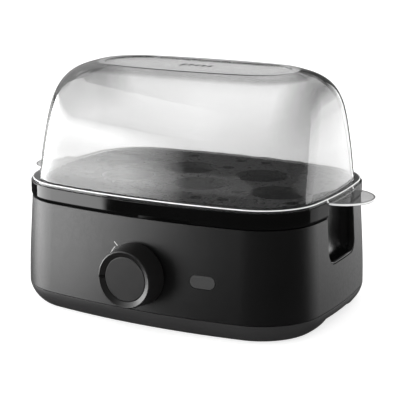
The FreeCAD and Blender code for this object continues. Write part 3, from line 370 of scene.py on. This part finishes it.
# Dark and light tint, least and most roughness, and the streaks' direction and fineness where they
# aren't the usual ones.
METALS = {
    "aluminium": ((0.62, 0.62, 0.63), (0.8, 0.8, 0.81), (0.28, 0.45), (1, 12, 1)),
    "sheath_steel": ((0.2, 0.19, 0.18), (0.4, 0.39, 0.38), (0.35, 0.5)),
    "zinc_steel": ((0.5, 0.51, 0.53), (0.72, 0.73, 0.75), (0.22, 0.38), (1, 1, 1), 90),
    "brass": ((0.55, 0.36, 0.12), (0.8, 0.56, 0.24), (0.22, 0.36), (1, 1, 1), 300),
}
LOOKS = {
    "gloss_black": gloss_black(),
    "lid_clear": lid_clear(),
    "bowl_coating": bowl_coating(),
    "board_green": board_green(),
    "coil_copper": coil_copper(),
}
LOOKS.update({name: moulded(name, *look) for name, look in MOULDED.items()})
LOOKS.update({name: metal(name, *look) for name, look in METALS.items()})

for node in nodes.values():
    for place in node.material_slots:
        slot = place.material.name.split(".")[0]
        place.material = LOOKS[slot]

# ---------------------------------------------------------------- printed dial marks

INK_HEIGHT = 0.00006
CAST_FROM = 0.05
HOUSING = "housing_front"
# the arc beside the knob, which widens along its way, and the tick past its end; angles in degrees
SWEEP_RADIUS = 0.0232
SWEEP_ANGLES = (158, 138)
SWEEP_HALF_WIDTHS = (0.00012, 0.00032)
SWEEP_STEPS = 12
TICK_RADII = (0.0225, 0.0260)
TICK_ANGLE = 134
TICK_HALF_WIDTH = 0.0003
TICK_STEPS = 4


def ink():
    """Pale screen-printed ink."""
    material, tree, shader, _ = new_material("ink")
    wear = tree.noise(900, 4)
    thin = tree.span(wear, 0, 1)
    tree.put(shader, "Base Color", tree.blend(thin, (0.4, 0.4, 0.4), (0.56, 0.56, 0.55)))
    tree.put(shader, "Roughness", tree.span(wear, 0.45, 0.6))
    return material


def printed(name, strips, node):
    """Thin strips of ink laid on a node's front. Each strip is a list of (x, z, half width) points."""
    skin = skin_of(node)
    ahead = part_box(node)[0][1] - CAST_FROM
    corners, faces = [], []

    def on_front(x, z):
        hit = skin.ray_cast(Vector((x, ahead, z)), Vector((0, 1, 0)))[0]
        return hit - Vector((0, INK_HEIGHT, 0))

    for strip in strips:
        start = len(corners)
        for i, (x, z, half) in enumerate(strip):
            before, after = strip[max(i - 1, 0)], strip[min(i + 1, len(strip) - 1)]
            run = Vector((after[0] - before[0], after[1] - before[1])).normalized()
            for side in (-1, 1):
                corners.append(on_front(x - side * run.y * half, z + side * run.x * half))
        for i in range(len(strip) - 1):
            a = start + 2 * i
            faces.append((a, a + 1, a + 3, a + 2))
    piece = surface(name, corners, faces, ink())
    backing = piece.modifiers.new("ink", "SOLIDIFY")
    backing.thickness = INK_HEIGHT
    backing.offset = 0
    return piece


knob_low, knob_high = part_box("knob")
KNOB_X = (knob_low[0] + knob_high[0]) / 2
KNOB_Z = (knob_low[2] + knob_high[2]) / 2


def round_the_knob(radius, angle):
    """The x and z of a place round the knob's axis, seen from the front; angle 0 is to its right."""
    turn = math.radians(angle)
    return KNOB_X + radius * math.cos(turn), KNOB_Z + radius * math.sin(turn)


sweep = []
for i in range(SWEEP_STEPS + 1):
    part = i / SWEEP_STEPS
    place = round_the_knob(SWEEP_RADIUS, between(SWEEP_ANGLES, part))
    sweep.append((*place, between(SWEEP_HALF_WIDTHS, part)))
tick = []
for i in range(TICK_STEPS + 1):
    place = round_the_knob(between(TICK_RADII, i / TICK_STEPS), TICK_ANGLE)
    tick.append((*place, TICK_HALF_WIDTH))
dial_marks = printed("dial_marks", [sweep, tick], HOUSING)
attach(dial_marks, "base")

# ---------------------------------------------------------------- beads along the lid's rim and tabs, pale as painted highlight

# heights of the corners that outline the flange and the tabs, and of the middle of a tab's edge
RIM_LEVEL = 0.0873
TAB_LEVEL = 0.0852
TAB_MIDDLE = 0.08435
TAB_HALF = 0.0215
LEVEL_ERROR = 0.00005
# the x past which the right tab is looked for, how near a tab's side the rim's reach is measured,
# and how far inside that reach the tab's own corners may start
PAST_THE_RIM = 0.1
BESIDE_A_TAB = 0.004
REACH_ERROR = 0.0005
# radii of the beads, and how far inside and below the edges their middles run
RIM_BEAD = 0.00042
RIM_INSET, RIM_DROP = 0.0003, 0.00015
TAB_BEAD = 0.0007
TAB_INSET = 0.0002
# how far a tab's bead starts inside the rim, beside the tab and below the rim
ROOT_INSET, ROOT_SIDE, ROOT_DROP = 0.0006, 0.0006, 0.0004


def painted_highlight_edge():
    """Pale colour for the clear plastic's edges: a painted highlight where light gathers."""
    material, tree, shader, _ = new_material("painted_highlight_edge")
    streaks = tree.noise(120, 3)
    # the pale grey is painted highlight, streaked a little
    highlight_spread = tree.span(streaks, 0, 1)
    tree.put(shader, "Base Color", tree.blend(highlight_spread, (0.72, 0.72, 0.72), (0.86, 0.86, 0.86)))
    tree.put(shader, "Roughness", tree.span(streaks, 0.12, 0.25))
    tree.put(shader, "IOR", CLEAR_IOR)
    return material


def edge_of(node, level, beyond=None):
    """The convex outline of a node's corners at one level, or of those past an x."""
    flat = [v.co.xy for v in nodes[node].data.vertices if abs(v.co.z - level) < LEVEL_ERROR]
    if beyond is not None:
        flat = [corner for corner in flat if corner.x > beyond]
    return [flat[i] for i in convex_hull_2d(flat)]


def bead(name, places, radius, closed):
    """A thin round bead along the lid, through a list of places, pale with painted highlight."""
    curve = bpy.data.curves.new(name, "CURVE")
    curve.dimensions = "3D"
    curve.bevel_depth = radius
    curve.bevel_resolution = 3
    curve.use_fill_caps = True
    spline = curve.splines.new("POLY")
    spline.points.add(len(places) - 1)
    for point, place in zip(spline.points, places):
        point.co = (*place, 1)
    spline.use_cyclic_u = closed
    curve.materials.append(PAINTED_HIGHLIGHT_EDGE)
    piece = bpy.data.objects.new(name, curve)
    scene.collection.objects.link(piece)
    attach(piece, "lid")


# the beads' pale colour is a painted highlight
PAINTED_HIGHLIGHT_EDGE = painted_highlight_edge()

rim = edge_of("lid", RIM_LEVEL)
rim_places = [(*(corner - corner.normalized() * RIM_INSET), RIM_LEVEL - RIM_DROP) for corner in rim]
bead("lid_rim_highlight_bead", rim_places, RIM_BEAD, True)

# x of the rim beside the tabs, and the corners of the right tab that stand out past it
rim_reach = max(corner.x for corner in rim if abs(abs(corner.y) - TAB_HALF) < BESIDE_A_TAB)
tab = sorted(
    (corner for corner in edge_of("lid", TAB_LEVEL, PAST_THE_RIM) if corner.x > rim_reach - REACH_ERROR),
    key=lambda corner: math.atan2(corner.y, corner.x - rim_reach),
)
for side, face in (("right", 1), ("left", -1)):
    root = (face * (rim_reach - ROOT_INSET), TAB_HALF + ROOT_SIDE, RIM_LEVEL - ROOT_DROP)
    places = [(root[0], -root[1], root[2])]
    for corner in tab:
        inward = (corner - Vector((rim_reach, 0))).normalized() * TAB_INSET
        places.append((face * (corner.x - inward.x), corner.y - inward.y, TAB_MIDDLE))
    places.append(root)
    bead("tab_highlight_bead_" + side, places, TAB_BEAD, False)

# ---------------------------------------------------------------- curved linings of the finger pockets

# a pocket's mouth, seen from its end: half its width, its foot, its top and its foot's corners
POCKET_HALF = 0.0224
POCKET_FOOT = 0.0430
POCKET_TOP = 0.0830
POCKET_CORNER = 0.0082
# x of the deepest part, and the thickness of the lining
POCKET_BACK = 0.0985
POCKET_LINING = 0.0005
# the lining starts this far behind the wall's skin, which is found this far outside the mouth
LINING_SUNK = 0.0003
SKIN_BESIDE = 0.0012
BEYOND_THE_END = 0.2
# a section from the deepest part to the mouth is a superellipse with this exponent
POCKET_ROUNDNESS = 4
SIDE_STEPS, CORNER_STEPS, FOOT_STEPS, RING_STEPS = 12, 12, 6, 18


def liner_black():
    """Glossy black moulding inside the finger pockets."""
    material, tree, shader, _ = new_material("liner_black")
    haze = tree.noise(35, 4, (1, 1, 3))
    tree.put(shader, "Base Color", tree.blend(haze, (0.002, 0.002, 0.002), (0.004, 0.004, 0.004)))
    tree.put(shader, "Roughness", tree.span(haze, 0.22, 0.28))
    tree.put(shader, "IOR", 1.5)
    return material


def pocket_outline():
    """Points down one side of a finger pocket's mouth, round its foot and up the other side."""
    bend = POCKET_FOOT + POCKET_CORNER
    inner = POCKET_HALF - POCKET_CORNER
    right = [(POCKET_HALF, between((POCKET_TOP, bend), i / SIDE_STEPS)) for i in range(SIDE_STEPS)]
    for i in range(CORNER_STEPS + 1):
        turn = math.pi / 2 * i / CORNER_STEPS
        right.append((inner + POCKET_CORNER * math.cos(turn), bend - POCKET_CORNER * math.sin(turn)))
    right += [(between((inner, 0), i / FOOT_STEPS), POCKET_FOOT) for i in range(1, FOOT_STEPS + 1)]
    return right + [(-y, z) for y, z in reversed(right[:-1])]


def lining_row(y, z, skin):
    """Places along the right pocket's lining, from its deepest part to a point of its mouth."""
    middle = Vector((0, max(z, POCKET_FOOT + POCKET_HALF)))
    edge = Vector((y, z))
    beside = edge + (edge - middle).normalized() * SKIN_BESIDE
    hit = skin.ray_cast(Vector((BEYOND_THE_END, beside.x, beside.y)), Vector((-1, 0, 0)))[0]
    front = hit.x - LINING_SUNK
    row = []
    for i in range(RING_STEPS + 1):
        ring = 1 - (1 - i / RING_STEPS) ** 2
        spot = middle.lerp(edge, ring)
        depth = (1 - ring**POCKET_ROUNDNESS) ** (1 / POCKET_ROUNDNESS)
        row.append((between((front, POCKET_BACK), depth), spot.x, spot.y))
    return row


def pocket_lining(side, face, rows, material):
    """The lining of one pocket; face is 1 at the right end and -1 at the left."""
    corners = [(face * x, y, z) for row in rows for x, y, z in row]
    wide = len(rows[0])
    faces = []
    for i in range(len(rows) - 1):
        for a in range(i * wide, (i + 1) * wide - 1):
            faces.append((a, a + 1, a + wide + 1, a + wide)[::face])
    lining = surface("pocket_lining_" + side, corners, faces, material)
    lining.data.polygons.foreach_set("use_smooth", [True] * len(faces))
    joined = lining.modifiers.new("joined", "WELD")
    joined.merge_threshold = 0.00001
    backing = lining.modifiers.new("backing", "SOLIDIFY")
    backing.thickness = POCKET_LINING
    backing.offset = -1
    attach(lining, "base")


end_skin = skin_of("housing_front_right", "housing_back_right", "bezel")
lining_rows = [lining_row(y, z, end_skin) for y, z in pocket_outline()]
LINER_BLACK = liner_black()
pocket_lining("right", 1, lining_rows, LINER_BLACK)
pocket_lining("left", -1, lining_rows, LINER_BLACK)

# ---------------------------------------------------------------- black inlay in the knob's notch


def inlay_black():
    """Dull black paint in a moulded groove."""
    material, tree, shader, _ = new_material("inlay_black")
    spots = tree.noise(2000, 3)
    tree.put(shader, "Base Color", tree.blend(spots, (0.001, 0.001, 0.001), (0.003, 0.003, 0.003)))
    tree.put(shader, "Roughness", tree.span(spots, 0.7, 0.85))
    tree.put(shader, "Specular IOR Level", 0.2)
    return material


KNOB_FRONT = knob_low[1]
MARK_HALF_WIDTH = 0.00088
MARK_ROUNDING = 0.0002
# how far out from the knob's axis and how far behind its front the inlay's outline goes
MARK_OUTLINE = [
    (0.0141, 0.0034), (0.0150, 0.0021), (0.0180, 0.0004), (0.0187, 0.0003),
    (0.0194, 0.0010), (0.0197, 0.0034),
]


def knob_inlay():
    """The outline drawn out to both sides of the notch's middle, with its edges rounded."""
    count = len(MARK_OUTLINE)
    corners = [
        (KNOB_X - out, KNOB_FRONT + behind, KNOB_Z + side * MARK_HALF_WIDTH)
        for side in (-1, 1)
        for out, behind in MARK_OUTLINE
    ]
    faces = [tuple(range(count)), tuple(range(2 * count - 1, count - 1, -1))]
    for i in range(count):
        after = (i + 1) % count
        faces.append((i, i + count, after + count, after))
    piece = surface("knob_mark", corners, faces, inlay_black())
    rounding = piece.modifiers.new("rounding", "BEVEL")
    rounding.width = MARK_ROUNDING
    rounding.segments = 2
    return piece


knob_mark = knob_inlay()
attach(knob_mark, "knob")

# ---------------------------------------------------------------- floor, lights and world

FLOOR_SIZE = 12.0
FLOOR_GLOW = 0.7
PANEL_DISTANCE = 1.25
PANEL_CENTRE = 0.08
LEAST_FADE = 0.004
TOP_SIZE = 1.8
TOP_HEIGHT = 1.6
TOP_STRENGTH = 1.2
WORLD_IN_REFLECTIONS = 0.04


def sheet_object(name, width, height, material):
    """A flat rectangle centred on its own origin, which isn't part of the object."""
    x, y = width / 2, height / 2
    sheet = surface(name, [(-x, -y, 0), (x, -y, 0), (x, y, 0), (-x, y, 0)], [(0, 1, 2, 3)], material)
    return sheet


def hide_from(sheet, *rays):
    """Keep a sheet out of sight of some kinds of ray."""
    for ray in rays:
        setattr(sheet, "visible_" + ray, False)


def floor_white():
    """Pale studio floor, whose glow keeps it nearly white in the object's shadow too."""
    material, tree, shader, _ = new_material("floor")
    tree.put(shader, "Base Color", tree.blend(tree.noise(3, 2), (0.5, 0.5, 0.5), (0.52, 0.52, 0.52)))
    tree.put(shader, "Roughness", 0.7)
    tree.put(shader, "Specular IOR Level", 0.1)
    tree.put(shader, "Emission Color", (1, 1, 1, 1))
    tree.put(shader, "Emission Strength", FLOOR_GLOW)
    return material


def glowing(name):
    """A material that only glows, with its tree and its emission node."""
    material = bpy.data.materials.new(name)
    material.use_nodes = True
    tree = Nodes(material.node_tree)
    glow = tree.add("Emission")
    tree.put(tree.add("OutputMaterial"), "Surface", glow.outputs["Emission"])
    return material, tree, glow


def softbox(name, azimuths, elevations, strength, fade=0.0, foot=1.0, head=1.0):
    """An upright lit panel that faces the object between two azimuths and two elevations.

    Its glow falls to nothing over fade of its width at the first azimuth, and to foot and head of
    its strength at its lower and upper edges.
    """
    low, high = (math.tan(math.radians(angle)) * PANEL_DISTANCE for angle in elevations)
    middle = math.radians(sum(azimuths) / 2)
    width = 2 * PANEL_DISTANCE * math.tan(math.radians(abs(azimuths[1] - azimuths[0])) / 2)
    material, tree, glow = glowing(name)
    panel = sheet_object(name, width, high - low, material)
    panel.location = direction(middle, 0) * PANEL_DISTANCE
    panel.location.z = PANEL_CENTRE + (low + high) / 2
    panel.rotation_euler = Euler((math.pi / 2, 0, middle + math.pi))
    where = tree.axes_of(tree.object_coordinates())
    side = -1 if azimuths[1] < azimuths[0] else 1
    edge = side * width / 2
    lit = edge - side * width * max(fade, LEAST_FADE)
    across = tree.span(where["X"], 0.0, strength, edge, lit)
    upward = tree.span(where["Y"], foot, head, (low - high) / 2, (high - low) / 2)
    tree.put(glow, "Strength", tree.product(across, upward))
    hide_from(panel, "camera", "transmission", "shadow")


floor = sheet_object("floor", FLOOR_SIZE, FLOOR_SIZE, floor_white())
hide_from(floor, "glossy")
softbox("softbox_low", (-37, -92), (-30, -9.5), 6.6, fade=0.03, foot=0.25)
softbox("softbox_left", (-19, -110), (-9.5, 4), 9.0, fade=0.2)
softbox("softbox_rise", (-19, -110), (4, 10), 11.0, fade=0.25, foot=0.82)
softbox("softbox_fall", (-19, -110), (10, 19), 11.0, fade=0.25, head=0.18)
softbox("softbox_high", (-12, -110), (19, 55), 2.0, fade=0.4)
softbox("softbox_right", (117, 178), (-30, -11.5), 0.7)
softbox("softbox_right_middle", (117, 178), (-11.5, 8), 3.4, foot=0.8)
softbox("softbox_right_high", (117, 178), (8, 24), 2.6, head=0.02)
softbox("softbox_back", (194, 250), (6, 34), 0.5, fade=0.12)
top_material, _, top_glow = glowing("softbox_top")
top_glow.inputs["Strength"].default_value = TOP_STRENGTH
top = sheet_object("softbox_top", TOP_SIZE, TOP_SIZE, top_material)
top.location = (0, 0, TOP_HEIGHT)
hide_from(top, "camera", "transmission", "glossy", "shadow")

world = bpy.data.worlds.new("studio")
scene.world = world
world.use_nodes = True
world_tree = Nodes(world.node_tree)
background = world_tree.add("Background")
world_tree.put(world_tree.add("OutputWorld"), "Surface", background.outputs["Background"])
world_tree.put(background, "Color", (1, 1, 1, 1))
glossy = world_tree.add("LightPath").outputs["Is Glossy Ray"]
world_tree.put(background, "Strength", world_tree.span(glossy, 1.0, WORLD_IN_REFLECTIONS, 0.0, 1.0))
world.cycles.sampling_method = "NONE"
